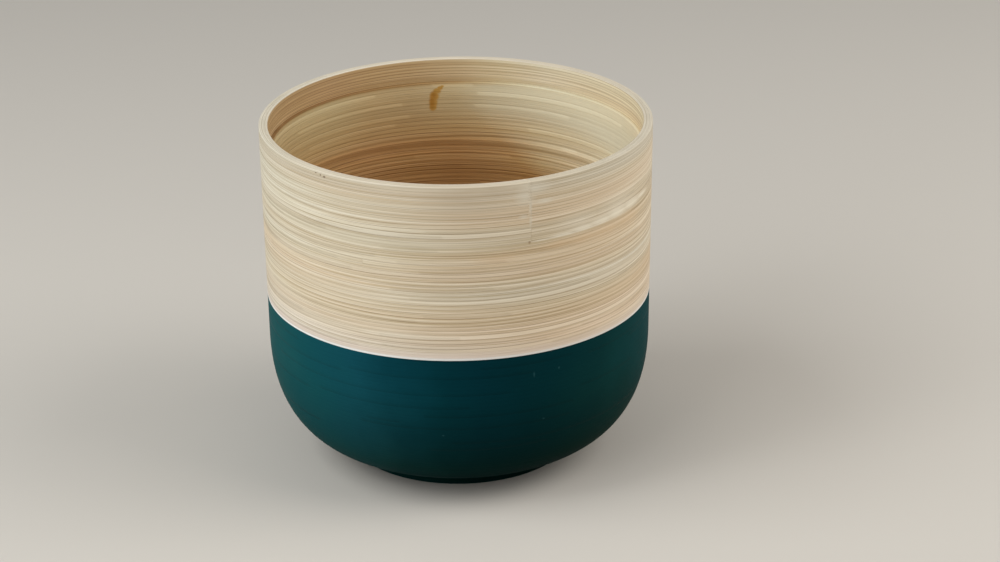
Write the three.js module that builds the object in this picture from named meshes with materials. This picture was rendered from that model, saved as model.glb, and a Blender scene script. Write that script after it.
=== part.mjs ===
// A spun bamboo cachepot. Long bamboo strips are wound upright into a flat coil, the coil is pushed out into a
// round-bottomed pot, and the turns are glued, sanded smooth outside and painted up to a level line.
// Every strip is its own solid. Each turn stands outside the turn before it and a little higher, so the strips
// stand upright in the floor and lean inwards in the wall.
// Millimetres, +Z up. The origin is at the middle of the foot's underside.
import * as THREE from 'three';

// Driving dimensions of the pot.
const potHeight = 153.6;
const rimRadius = 86; // outside, at the top of the rim
const wallFlare = 1; // how much wider the wall is at the rim than at the haunch
const baseRadius = 39.5; // flat of the underside, up to where the haunch starts
const haunchHeight = 55.2; // from the underside up to where the wall stands straight
const haunchRoundness = 2.5; // power of the haunch's curve: 2 is an ellipse, and more is fuller
const wallThickness = 5.2;
const footRadius = 49.5;
const footHeight = 5;
const paintHeight = 75.5; // level top edge of the painted part

// Driving dimensions of the strips.
const stripWidth = 8; // a strip stands upright in the floor, so this is the floor's thickness too
const stripThickness = 1.3;
const floorStripCount = 2; // strips of equal length in each zone of the winding
const haunchStripCount = 9;
const paintedStripLength = 2000; // about how long the wall's strips are, below the paint's edge
const bareStripLength = 2700; // and from there up to the collar
const collarDepth = 26.6; // from the rim's top down to where the turns are single, their ends at the seam
const footTurns = 5; // turns of the one strip that makes the foot
const pegRadius = 3.5; // peg that fills the eye of the coil
const glueLine = 0.15; // room for glue between neighbours
const insideStep = 0.4; // how far the top edge of a wall strip stands proud inside the pot
const seamAzimuth = 290.8; // degrees from +X to the seam, where the ends of the hoops and the collar meet
const windingEnd = 195; // degrees past the seam at which the last turn runs out

// Driving dimensions of the rim, which is three hoops bent round the top of the winding.
const ledgeDepth = 11; // from the top of the rim down to the ledge inside the mouth
const outerReveal = 7.5; // height of the outer hoop that shows outside
const middleReveal = 3.5; // height of the middle hoop that shows below the outer one
const rimRounding = 1; // sanded edges of the rim

const stationsPerTurn = 48;
const meridianSteps = 1500;
const roundingSteps = 3;

const bamboo = new THREE.MeshStandardMaterial({ color: 0xd3bd94, roughness: 0.62, metalness: 0 });
const tealPaint = new THREE.MeshStandardMaterial({ color: 0x0d4750, roughness: 0.42, metalness: 0 });

const pot = new THREE.Group();
const fullTurn = 2 * Math.PI;
const point = (r, z) => new THREE.Vector2(r, z);
const mod = (a, b) => ((a % b) + b) % b;

// Heights and radii that follow from the driving dimensions.
const rimHoops = 3;
const rimWall = rimHoops * stripThickness;
const wallLean = Math.asin(wallThickness / stripWidth); // of a strip in the straight wall, from upright
const ledgeHeight = potHeight - ledgeDepth;
const collarHeight = potHeight - collarDepth;
const windingTop = ledgeHeight - rimWall / Math.tan(wallLean); // where the rim starts outside
const haunchTop = footHeight + haunchHeight;
const wallRadius = rimRadius - wallFlare; // outside, at the top of the haunch
const outsideAt = (z) => wallRadius + (wallFlare * (z - haunchTop)) / (potHeight - haunchTop);
const rimInside = outsideAt(ledgeHeight) - rimWall;

// The haunch's curve in section, from the edge of the flat underside up to the foot of the straight wall.
class HaunchCurve extends THREE.Curve {
  arcLengthDivisions = meridianSteps;
  getPoint(t, target = new THREE.Vector2()) {
    const out = Math.sin((Math.PI / 2) * t) ** (2 / haunchRoundness);
    const down = Math.cos((Math.PI / 2) * t) ** (2 / haunchRoundness);
    return target.set(baseRadius + (wallRadius - baseRadius) * out, haunchTop - haunchHeight * down);
  }
}

// Height of the underside at a radius, over the foot.
function undersideAt(radius) {
  const out = Math.max(0, radius - baseRadius) / (wallRadius - baseRadius);
  return haunchTop - haunchHeight * (1 - out ** haunchRoundness) ** (1 / haunchRoundness);
}

// The meridian is the outside of the pot from the peg to the rim: flat floor, full haunch, straight wall.
const meridian = new THREE.CurvePath();
meridian.add(new THREE.LineCurve(point(pegRadius, footHeight), point(baseRadius, footHeight)));
meridian.add(new HaunchCurve());
meridian.add(new THREE.LineCurve(point(wallRadius, haunchTop), point(outsideAt(windingTop), windingTop)));

// Lays the turns along the meridian. A strip meets the surface square on in the floor and at the wall's lean in
// the wall, and the flatter it lies, the more of its edge shows and the further apart the turns are.
function layTurns() {
  const laid = [];
  const step = meridian.getLength() / meridianSteps;
  let turn = 0;
  let length = 0;
  for (let i = 0; i <= meridianSteps; i++) {
    const outer = meridian.getPoint(i / meridianSteps);
    const tangent = meridian.getTangent(i / meridianSteps);
    const slope = Math.atan2(tangent.y, tangent.x);
    const thickness = wallThickness + (stripWidth - wallThickness) * Math.cos(slope) ** 2;
    const toSurface = Math.asin(thickness / stripWidth);
    const across = point(Math.cos(slope + toSurface), Math.sin(slope + toSurface));
    laid.push({ turn, length, outer, across, proud: insideStep * Math.sin(slope) ** 2 });
    const turns = (step * Math.sin(toSurface)) / stripThickness;
    turn += turns;
    length += turns * fullTurn * outer.x;
  }
  return laid;
}
const laid = layTurns();
const lastTurn = laid.at(-1).turn;
const turnAt = (test) => laid.find((entry) => test(entry.outer)).turn;
const haunchTurn = turnAt((outer) => outer.x > baseRadius);
const wallTurn = turnAt((outer) => outer.y > haunchTop);
const paintTurn = turnAt((outer) => outer.y > paintHeight);

// Stations count round the winding, stationsPerTurn to a turn. The last strip starts at the seam, a turn and the
// winding's end before the top, and the collar's single turns lie below it.
const lastStation = Math.round(lastTurn * stationsPerTurn);
const seamStation = lastStation - Math.round((1 + windingEnd / 360) * stationsPerTurn);
const collarTurns = Math.round(seamStation / stationsPerTurn - turnAt((outer) => outer.y > collarHeight));
const collarTurn = seamStation / stationsPerTurn - collarTurns;

// The two laid entries on either side of a value of one of their measures, and how far between them it lies.
function between(measure, value) {
  const found = laid.findIndex((entry) => entry[measure] > value);
  const high = found < 0 ? laid.length - 1 : Math.max(found, 1);
  const [a, b] = [laid[high - 1], laid[high]];
  return { a, b, share: (value - a[measure]) / (b[measure] - a[measure]) };
}

// The glue joint under a turn, from the outside of the pot to the inside. A proud joint stands out inside.
function windingJoint(turn, isProud) {
  const { a, b, share } = between('turn', turn);
  const outer = a.outer.clone().lerp(b.outer, share);
  const across = a.across.clone().lerp(b.across, share).normalize();
  const width = stripWidth + (isProud ? THREE.MathUtils.lerp(a.proud, b.proud, share) : 0);
  return [outer, outer.clone().addScaledVector(across, width)];
}

// The upright joint under a turn of the foot, which is wound flat.
function footJoint(turn) {
  const radius = footRadius - (footTurns - turn) * stripThickness;
  return [point(radius, 0), point(radius, undersideAt(radius) - glueLine)];
}

// The top of the winding, trimmed level: a sloping shoulder for the rim, then the ledge inside the mouth.
function shoulder() {
  const inside = outsideAt(ledgeHeight) - wallThickness - insideStep;
  return [point(outsideAt(windingTop), windingTop), point(rimInside, ledgeHeight), point(inside, ledgeHeight)];
}

// Collects triangles by their corners, each corner a point of the section at an azimuth.
class Skin {
  corners = [];
  triangle(...corners) {
    this.corners.push(...corners);
  }
  // The faces between two chains of corners that start side by side, seen with the first chain on the left.
  web(left, right) {
    let [i, j] = [0, 0];
    while (i < left.length - 1 || j < right.length - 1) {
      const climbLeft = j === right.length - 1 || (i < left.length - 1 && i * right.length < j * left.length);
      if (climbLeft) this.triangle(left[i], right[j], left[++i]);
      else this.triangle(left[i], right[j], right[++j]);
    }
  }
  mesh(name, material) {
    const made = new THREE.Mesh(new THREE.BufferGeometry().setFromPoints(this.corners), material);
    made.name = name;
    pot.add(made);
  }
}

// A point of the section at an azimuth, which is counted from the seam.
function spun(section, azimuth) {
  const around = azimuth + THREE.MathUtils.degToRad(seamAzimuth);
  return new THREE.Vector3(section.x * Math.cos(around), section.x * Math.sin(around), section.y);
}

// One strip wound turn on turn. It runs from its first station to its last, stationsPerTurn of them to a turn, so
// its underside and its top both climb one turn in going round, and its two ends are butt joints. A level start
// or end is feathered off instead, to a joint that is the same all round.
function woundStrip(name, material, { joint, first, last, seam = 0, levelStart, levelEnd }) {
  const skin = new Skin();
  const turns = stationsPerTurn;
  const glueTurns = glueLine / stripThickness;
  const start = levelStart ?? joint(first / turns, false);
  const backOff = levelEnd ? 0 : glueLine / joint(last / turns, false)[0].x;
  const around = (n) => (fullTurn * mod(n - seam, turns)) / turns;
  const azimuth = (n) => around(n) - (mod(n - last, turns) === 0 ? backOff : 0);
  const place = (line, n) => line.map((section) => spun(section, azimuth(n)));
  const under = (n) => place(levelStart ? start : joint(n / turns, false), n);
  const over = (n) => place(levelEnd ?? joint(n / turns - glueTurns, true), n);
  const outside = (line) => line[0];
  const inside = (line) => line.at(-1);

  for (let n = first; n < first + turns; n++) {
    const m = last + mod(n - last, turns);
    const left = [under(n), over(m)];
    const right = [under(n + 1), over(m + 1)];
    if (n === first && !levelStart) left.splice(1, 0, under(first + turns));
    if (m + 1 === last + turns && !levelEnd) right.splice(1, 0, over(last));
    skin.web(left.map(outside), right.map(outside));
    skin.web(right.map(inside), left.map(inside));
    skin.web(under(n).reverse(), under(n + 1).reverse());
    skin.web(over(m), over(m + 1));
  }
  if (!levelStart) skin.web(under(first), under(first + turns));
  if (!levelEnd) skin.web(over(last + turns), over(last));
  skin.mesh(name, material);
}

// One strip bent once round the pot, its ends butted at the seam. Its section may climb on the way round.
function hoop(name, material, sectionAt) {
  const skin = new Skin();
  const turns = stationsPerTurn;
  const backOff = glueLine / rimRadius;
  const azimuth = (i) => (fullTurn * i) / turns - (i === turns ? backOff : 0);
  const ring = (i) => [...sectionAt(i), sectionAt(i)[0]].map((corner) => spun(corner, azimuth(i)));
  for (let i = 0; i < turns; i++) skin.web(ring(i), ring(i + 1));
  for (const [a, b, c] of THREE.ShapeUtils.triangulateShape(sectionAt(0), [])) {
    const [start, end] = [ring(0), ring(turns)];
    skin.triangle(start[a], start[b], start[c]);
    skin.triangle(end[c], end[b], end[a]);
  }
  skin.mesh(name, material);
}

// Length of the winding from the peg to a turn, and how many strips of about one length lie between two turns.
function lengthAt(turn) {
  const { a, b, share } = between('turn', turn);
  return THREE.MathUtils.lerp(a.length, b.length, share);
}
function stripCount(fromTurn, toTurn, stripLength) {
  return Math.max(1, Math.round((lengthAt(toTurn) - lengthAt(fromTurn)) / stripLength));
}

// The stations that cut the winding between two turns into strips of equal length.
function cutStations(fromTurn, toTurn, count) {
  const [low, high] = [lengthAt(fromTurn), lengthAt(toTurn)];
  return Array.from({ length: count + 1 }, (_, i) => {
    const { a, b, share } = between('length', THREE.MathUtils.lerp(low, high, i / count));
    return Math.round(THREE.MathUtils.lerp(a.turn, b.turn, share) * stationsPerTurn);
  });
}

// The winding, from the peg out to the collar. A joint between two strips lies at the paint's edge.
function addWinding() {
  const paintedStripCount = stripCount(wallTurn, paintTurn, paintedStripLength);
  const bareStripCount = stripCount(paintTurn, collarTurn, bareStripLength);
  const zones = [
    { zone: 'floor', material: tealPaint, cuts: cutStations(0, haunchTurn, floorStripCount) },
    { zone: 'haunch', material: tealPaint, cuts: cutStations(haunchTurn, wallTurn, haunchStripCount) },
    { zone: 'wall', material: tealPaint, cuts: cutStations(wallTurn, paintTurn, paintedStripCount) },
    { zone: 'wall', material: bamboo, cuts: cutStations(paintTurn, collarTurn, bareStripCount) },
  ];
  const made = { floor: 0, haunch: 0, wall: 0 };
  for (const { zone, material, cuts } of zones) {
    for (let i = 0; i < cuts.length - 1; i++) {
      made[zone]++;
      woundStrip(`${zone}_strip_${made[zone]}`, material, {
        joint: windingJoint,
        first: cuts[i],
        last: cuts[i + 1],
        seam: seamStation,
        levelStart: cuts[i] === 0 ? windingJoint(0, false) : undefined,
      });
    }
  }
}

// The collar, single turns with their ends at the seam. The last one is trimmed level for the rim.
function addCollar() {
  const name = (turns) => `collar_strip_${turns + 1}`;
  for (let made = 0; made < collarTurns; made++) {
    const turn = collarTurn + made;
    hoop(name(made), bamboo, (i) => {
      const under = windingJoint(turn + i / stationsPerTurn, false);
      const over = windingJoint(turn + 1 + i / stationsPerTurn - glueLine / stripThickness, true);
      return [...under.toReversed(), ...over];
    });
  }
  woundStrip(name(collarTurns), bamboo, {
    joint: windingJoint,
    first: seamStation,
    last: lastStation,
    seam: seamStation,
    levelEnd: shoulder(),
  });
}

// A sanded corner of the rim: a quarter round from one angle to the next.
function rounded(r, z, fromAngle) {
  return Array.from({ length: roundingSteps + 1 }, (_, i) => {
    const angle = fromAngle + ((Math.PI / 2) * i) / roundingSteps;
    return point(r + rimRounding * Math.cos(angle), z + rimRounding * Math.sin(angle));
  });
}

// The rim. The inner hoop stands on the winding's shoulder, and each further hoop wraps the one inside it.
function addRim() {
  const [innerTop, middleTop] = [rimInside + stripThickness, rimInside + 2 * stripThickness];
  const outerFoot = potHeight - outerReveal;
  const middleFoot = outerFoot - middleReveal;
  const roundTop = potHeight - rimRounding;
  const lift = glueLine / Math.sin(wallLean);
  const outside = (z) => point(outsideAt(z), z);
  const inner = [
    outside(windingTop + lift),
    outside(middleFoot - glueLine),
    point(innerTop - glueLine, potHeight),
    ...rounded(rimInside + rimRounding, roundTop, Math.PI / 2),
    point(rimInside, ledgeHeight + lift),
  ];
  const middle = [
    outside(middleFoot),
    outside(outerFoot - glueLine),
    point(middleTop - glueLine, potHeight),
    point(innerTop, potHeight),
  ];
  const outer = [
    outside(outerFoot),
    ...rounded(rimRadius - rimRounding, roundTop, 0),
    point(middleTop, potHeight),
  ];
  hoop('rim_inner_hoop', bamboo, () => inner);
  hoop('rim_middle_hoop', bamboo, () => middle);
  hoop('rim_outer_hoop', bamboo, () => outer);
}

// The peg in the eye of the coil, flush with both faces of the floor.
function addPeg() {
  const peg = new THREE.CylinderGeometry(pegRadius - glueLine, pegRadius - glueLine, stripWidth, stationsPerTurn);
  const made = new THREE.Mesh(peg, tealPaint);
  made.name = 'centre_peg';
  made.rotation.x = Math.PI / 2;
  made.position.z = footHeight + stripWidth / 2;
  pot.add(made);
}

// The foot, one strip wound flat under the edge of the floor, feathered off outside.
function addFoot() {
  const last = footTurns * stationsPerTurn;
  woundStrip('foot_strip', tealPaint, { joint: footJoint, first: 0, last, levelEnd: footJoint(footTurns) });
}

addPeg();
addWinding();
addCollar();
addRim();
addFoot();

export default pot;
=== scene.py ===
import math

import bmesh
import bpy
import numpy as np
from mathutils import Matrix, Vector


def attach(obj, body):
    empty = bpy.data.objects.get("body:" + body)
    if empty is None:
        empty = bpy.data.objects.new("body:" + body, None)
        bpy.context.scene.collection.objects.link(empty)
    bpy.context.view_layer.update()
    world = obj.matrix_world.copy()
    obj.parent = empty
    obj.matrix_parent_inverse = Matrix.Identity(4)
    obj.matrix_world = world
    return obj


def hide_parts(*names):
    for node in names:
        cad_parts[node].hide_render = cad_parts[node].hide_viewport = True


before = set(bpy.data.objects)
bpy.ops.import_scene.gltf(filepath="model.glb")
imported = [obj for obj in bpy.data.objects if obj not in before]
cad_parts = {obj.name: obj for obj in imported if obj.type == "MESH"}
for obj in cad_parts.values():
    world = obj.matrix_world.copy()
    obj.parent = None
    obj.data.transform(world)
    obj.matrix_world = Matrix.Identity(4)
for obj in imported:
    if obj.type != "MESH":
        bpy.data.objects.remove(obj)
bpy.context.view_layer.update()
print("frame loaded,", len(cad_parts), "nodes")

# A spun bamboo pot: strips wound upright into a coil, pushed out into a bowl, sanded, and painted up to a line.
# The strips are sawn straight here and then wound on, the way they are in the workshop. Metres throughout.
potShape = {
    "height": 0.1536,
    "rimRadius": 0.086,
    "wallFlare": 0.001,
    "baseRadius": 0.0395,
    "haunchHeight": 0.0552,
    "haunchRoundness": 2.5,  # 2 is an ellipse, and more is fuller
    "wallThickness": 0.0052,
    "footRadius": 0.0495,
    "footHeight": 0.005,
    "footTurns": 5,
    "paintHeight": 0.0755,
    "collarHeight": 0.127,   # above this the turns are single, with their ends at the seam
    "ledgeDepth": 0.011,
    "seamAzimuth": 290.8,
}
stripStock = {
    "width": 0.008,
    "thickness": 0.0013,
    "edgeRound": 0.00005,
    "stationStep": 0.0022,
    "floorStep": 0.5,        # the small turns of the floor need closer stations
    "gap": 0.008,            # share of a turn left for glue
    "wander": 0.2,           # how far a joint strays from its line, in turns
    "outsideRelief": 0.00004,
    "insideStep": 0.00005,
    "proudTurns": (99.44, 102.44),  # turns that stand out inside the pot
    "proudReach": 0.47,
    "proudStep": 0.0004,
    "paintFill": 0.15,       # what paint leaves of the edges and the relief
    "eyeTurn": 0.97,         # share of a turn that the first strip runs round the peg
    "grainShift": 3.7,       # keeps the grain of one strip apart from the next
}
# seed and spacing of the waves that keep the turns from lying too straight
unevenness = {"stray": (11, 0.13), "lip": (23, 0.17), "step": (31, 0.16), "slowStep": (37, 0.2)}
pegRadius = 0.0035
endReach = 0.02  # a strip's ends are told from its middle within this distance
fullTurn = 2 * math.pi
haunchTop = potShape["footHeight"] + potShape["haunchHeight"]
wallRadius = potShape["rimRadius"] - potShape["wallFlare"]
ledgeHeight = potShape["height"] - potShape["ledgeDepth"]
rimWall = 3 * stripStock["thickness"]
wallLean = math.asin(potShape["wallThickness"] / stripStock["width"])
windingTop = ledgeHeight - rimWall / math.tan(wallLean)
seamAngle = math.radians(potShape["seamAzimuth"])


def outsideAt(z):
    return wallRadius + potShape["wallFlare"] * (z - haunchTop) / (potShape["height"] - haunchTop)


def smoothNoise(x, seed, spacing):
    # soft random wave along a line, between -1 and 1
    count, start = 4096, 64
    knots = np.random.default_rng(seed).uniform(-1, 1, count)
    t = np.asarray(x, float) / spacing + start
    cell = np.floor(t).astype(int)
    f = t - cell
    f = f * f * (3 - 2 * f)
    return knots[cell % count] * (1 - f) + knots[(cell + 1) % count] * f


# the outside of the pot from the peg to the rim, and how the turns lie along it
def layTurns():
    base, width = potShape["baseRadius"], stripStock["width"]
    power = 2 / potShape["haunchRoundness"]
    floorPoints, haunchPoints, wallPoints = 400, 1500, 600
    floorR = np.linspace(pegRadius, base, floorPoints)
    angle = np.linspace(0, math.pi / 2, haunchPoints)[1:-1]
    wallZ = np.linspace(haunchTop, windingTop, wallPoints)
    r = np.concatenate([floorR, base + (wallRadius - base) * np.sin(angle) ** power, outsideAt(wallZ)])
    z = np.concatenate([
        np.full(floorPoints, potShape["footHeight"]),
        haunchTop - potShape["haunchHeight"] * np.cos(angle) ** power,
        wallZ,
    ])
    slope = np.arctan2(np.gradient(z), np.gradient(r))
    thickness = potShape["wallThickness"] + (width - potShape["wallThickness"]) * np.cos(slope) ** 2
    toSurface = np.arcsin(np.clip(thickness / width, 0, 1))
    step = np.hypot(np.diff(r), np.diff(z))
    sine = np.sin(toSurface)
    turns = step * (sine[1:] + sine[:-1]) / 2 / stripStock["thickness"]
    turn = np.concatenate([[0], np.cumsum(turns)])
    length = np.concatenate([[0], np.cumsum(turns * fullTurn * (r[1:] + r[:-1]) / 2)])
    return {
        "turn": turn, "length": length, "r": r, "z": z,
        "acrossR": np.cos(slope + toSurface), "acrossZ": np.sin(slope + toSurface),
        "rise": np.sin(slope) ** 2, "width": np.full(len(r), width),
    }


def undersideAt(r):
    out = np.maximum(r - potShape["baseRadius"], 0) / (wallRadius - potShape["baseRadius"])
    power = potShape["haunchRoundness"]
    return haunchTop - potShape["haunchHeight"] * (1 - out ** power) ** (1 / power)


# the foot is wound flat, so its turns stand straight up, to the underside of the pot
def layFoot():
    turnCount, points, glue = potShape["footTurns"], 200, 0.0001
    turn = np.linspace(0, turnCount, points)
    r = potShape["footRadius"] - (turnCount - turn) * stripStock["thickness"]
    length = np.concatenate([[0], np.cumsum(np.diff(turn) * fullTurn * (r[1:] + r[:-1]) / 2)])
    return {
        "turn": turn, "length": length, "r": r, "z": np.zeros(points),
        "acrossR": np.zeros(points), "acrossZ": np.ones(points), "rise": np.zeros(points),
        "width": undersideAt(r) - glue,
    }


winding = layTurns()
footWinding = layFoot()
lastTurn = winding["turn"][-1]
print("winding laid,", round(lastTurn, 1), "turns,", round(winding["length"][-1], 1), "m of strip")


def startPiece():
    if bpy.context.object and bpy.context.object.mode != "OBJECT":
        bpy.ops.object.mode_set(mode="OBJECT")
    bpy.ops.object.select_all(action="DESELECT")


def selectEdges(piece, test):
    bpy.ops.mesh.select_mode(type="EDGE")
    bpy.ops.mesh.select_all(action="DESELECT")
    mesh = bmesh.from_edit_mesh(piece.data)
    for edge in mesh.edges:
        if test(edge.verts[0].co, edge.verts[1].co):
            edge.select_set(True)
    bmesh.update_edit_mesh(piece.data)


# a straight strip: along X, its thickness along Y, its width along Z
def sawStrip(name, length, width, stationStep, edgeRound):
    thickness = stripStock["thickness"]
    startPiece()
    bpy.ops.mesh.primitive_cube_add(size=1, location=(length / 2, thickness / 2, width / 2))
    piece = bpy.context.object
    piece.name = name
    piece.scale = (length, thickness, width)
    bpy.ops.object.transform_apply(location=True, rotation=False, scale=True)

    def runsAlong(a, b):
        return abs(a.x - b.x) > 0.5 * stationStep

    bpy.ops.object.mode_set(mode="EDIT")
    selectEdges(piece, runsAlong)
    bpy.ops.mesh.bevel(offset=edgeRound, segments=1, affect="EDGES")
    stations = max(8, round(length / stationStep))
    coarse = min(100, max(2, round(math.sqrt(stations))))
    fine = max(2, round(stations / coarse))
    for cells in (coarse, fine):
        selectEdges(piece, runsAlong)
        bpy.ops.mesh.subdivide(number_cuts=cells - 1)
    bpy.ops.object.mode_set(mode="OBJECT")
    return piece


def readPoints(piece):
    flat = np.zeros(len(piece.data.vertices) * 3)
    piece.data.vertices.foreach_get("co", flat)
    return flat.reshape(-1, 3)


def writePoints(piece, points, along, across, **values):
    mesh = piece.data
    mesh.vertices.foreach_set("co", points.astype(np.float32).ravel())
    corner = np.zeros(len(mesh.loops), int)
    mesh.loops.foreach_get("vertex_index", corner)
    for layer in list(mesh.uv_layers):
        mesh.uv_layers.remove(layer)
    layer = mesh.uv_layers.new(name="grain")
    layer.data.foreach_set("uv", np.stack([along, across], 1)[corner].astype(np.float32).ravel())
    for name, value in values.items():
        layer = mesh.attributes.new(name, "FLOAT", "POINT")
        layer.data.foreach_set("value", np.broadcast_to(value, len(points)).astype(np.float32))
    mesh.update()


# winds a straight strip onto its turns, each turn outside the one before it
def windOn(piece, lay, startLength, grainShift, wander, relief, insideStep):
    points = readPoints(piece)
    along = startLength + points[:, 0]
    share = np.clip(points[:, 1] / stripStock["thickness"], 0, 1)
    depth = points[:, 2] / points[:, 2].max()
    eye = fullTurn * lay["r"][0]
    turn = np.where(along < 0, along / eye, np.interp(along, lay["length"], lay["turn"]))
    beyond = np.maximum(along - lay["length"][-1], 0)
    turn = turn + beyond / (fullTurn * lay["r"][-1])
    strayLow = wander * smoothNoise(turn, *unevenness["stray"])
    strayHigh = wander * smoothNoise(turn + 1, *unevenness["stray"])
    squeezed = stripStock["gap"] + (1 - 2 * stripStock["gap"]) * share
    joint = (turn + strayLow) * (1 - squeezed) + (turn + 1 + strayHigh) * squeezed
    joint = np.clip(joint, 0, lay["turn"][-1])
    keys = ("r", "z", "acrossR", "acrossZ", "rise", "width")
    place = {key: np.interp(joint, lay["turn"], lay[key]) for key in keys}
    outer = depth < 0.5
    lip = smoothNoise(turn, *unevenness["lip"]) * (1 - share) + smoothNoise(turn + 1, *unevenness["lip"]) * share
    step = np.abs(smoothNoise(along, *unevenness["step"])) * (1 - share)
    step = step + 0.25 * smoothNoise(along, *unevenness["slowStep"])
    lift = sum(np.exp(-((turn - at) / stripStock["proudReach"]) ** 6) for at in stripStock["proudTurns"])
    stand = insideStep * step * place["rise"] + stripStock["proudStep"] * lift * (1 - share)
    reach = depth * place["width"] + np.where(outer, relief * lip, stand)
    trim = (ledgeHeight - place["z"]) / np.maximum(place["acrossZ"], 0.1)
    reach = np.minimum(reach, trim)  # level on top
    r = place["r"] + place["acrossR"] * reach
    z = place["z"] + place["acrossZ"] * reach
    azimuth = seamAngle + fullTurn * turn
    wound = np.stack([r * np.cos(azimuth), r * np.sin(azimuth), z], 1)
    fromEnd = np.minimum(points[:, 0], points[:, 0].max() - points[:, 0])
    writePoints(piece, wound, along + grainShift, np.clip(share, 0, 0.9999),
                outside=outer, fromEnd=np.minimum(fromEnd, endReach), proud=lift * (share < 0.5))


def finishPiece(piece, node, material, angle=35):
    startPiece()
    piece.select_set(True)
    bpy.context.view_layer.objects.active = piece
    bpy.ops.object.mode_set(mode="EDIT")
    bpy.ops.mesh.select_all(action="SELECT")
    bpy.ops.mesh.normals_make_consistent(inside=False)
    bpy.ops.object.mode_set(mode="OBJECT")
    bpy.ops.object.shade_smooth_by_angle(angle=math.radians(angle))
    piece.data.materials.clear()
    piece.data.materials.append(material)
    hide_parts(node)
    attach(piece, "root")


def fromSrgb(red, green, blue):
    def channel(v):
        v /= 255
        return v / 12.92 if v <= 0.04045 else ((v + 0.055) / 1.055) ** 2.4
    return (channel(red), channel(green), channel(blue), 1.0)


def addNode(tree, kind, inputs=None, **settings):
    node = tree.nodes.new(kind)
    for key, value in settings.items():
        setattr(node, key, value)
    for key, value in (inputs or {}).items():
        if isinstance(value, bpy.types.NodeSocket):
            tree.links.new(value, node.inputs[key])
        else:
            node.inputs[key].default_value = value
    return node


def maths(tree, operation, *values):
    return addNode(tree, "ShaderNodeMath", dict(enumerate(values)), operation=operation).outputs[0]


def aboutHalf(tree, noise):
    return maths(tree, "SUBTRACT", noise, 0.5)


def vectorMaths(tree, operation, *values):
    return addNode(tree, "ShaderNodeVectorMath", dict(enumerate(values)), operation=operation)


def mapRange(tree, value, fromMin, fromMax, toMin, toMax):
    node = addNode(tree, "ShaderNodeMapRange", {
        "Value": value, "From Min": fromMin, "From Max": fromMax, "To Min": toMin, "To Max": toMax,
    })
    return node.outputs[0]


def mixColour(tree, share, low, high, blend="MIX"):
    node = addNode(tree, "ShaderNodeMix", {0: share, 6: low, 7: high}, data_type="RGBA", blend_type=blend)
    return node.outputs[2]


def softNoise(tree, place, scale, detail):
    return addNode(tree, "ShaderNodeTexNoise", {"Vector": place, "Scale": scale, "Detail": detail})


def lineNoise(tree, along, scale, shift, detail=2.0):
    # noise that runs along a strip
    reach = maths(tree, "MULTIPLY_ADD", along, scale, shift)
    node = addNode(tree, "ShaderNodeTexNoise", {"W": reach, "Scale": 1.0, "Detail": detail}, noise_dimensions="1D")
    return node.outputs[0]


def faceNoise(tree, along, across, alongScale, acrossScale, detail=3.0):
    x = maths(tree, "MULTIPLY", along, alongScale)
    y = maths(tree, "MULTIPLY", across, acrossScale)
    place = addNode(tree, "ShaderNodeCombineXYZ", {"X": x, "Y": y})
    node = addNode(tree, "ShaderNodeTexNoise", {
        "Vector": place.outputs[0], "Scale": 1.0, "Detail": detail, "Roughness": 0.6,
    }, noise_dimensions="2D")
    return node.outputs[0]


def colourRamp(tree, value, stops):
    node = addNode(tree, "ShaderNodeValToRGB", {"Fac": value})
    ramp = node.color_ramp
    while len(ramp.elements) < len(stops):
        ramp.elements.new(0.5)
    for element, (position, colour) in zip(ramp.elements, stops):
        element.position = position
        element.color = colour
    return node.outputs[0]


bambooTones = {
    "pale": (228, 216, 192),
    "straw": (210, 195, 167),
    "tan": (188, 170, 138),
    "fibre": (150, 124, 88),
    "joint": (126, 98, 64),
    "honey": (214, 178, 138),
    "ash": (208, 204, 190),
}


# scales of the noise along and across a strip, and how much each weighs
grainLook = {
    "layerShift": 7.31,
    "tone": {"along": 2.3, "shift": 4.0, "weight": 0.3},
    "lean": {"along": 3.1, "shift": 29.0, "weight": 0.9},  # one edge of a strip is darker than the other
    "broad": {"along": 5.0, "across": 1.0, "weight": 1.2},
    "fine": {"along": 28.0, "across": 2.7, "weight": 0.9},
    "driftRange": 0.3,
    "warmthRange": 0.25,
    "warmthShare": 0.4,
    "hair": {"along": 7.0, "across": 1.9, "shift": 0.0, "tone": "fibre", "share": 0.33},
    "gleam": {"along": 6.0, "across": 1.9, "shift": 41.0, "tone": "pale", "share": 0.35},
    "hairFrom": 0.6,
    "hairTo": 0.7,
    "jointFrom": 0.02,
    "jointTo": 0.1,
    "jointNoise": {"along": 5.0, "shift": 51.0},
    "roughness": (0.64, 0.5),
}


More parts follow.
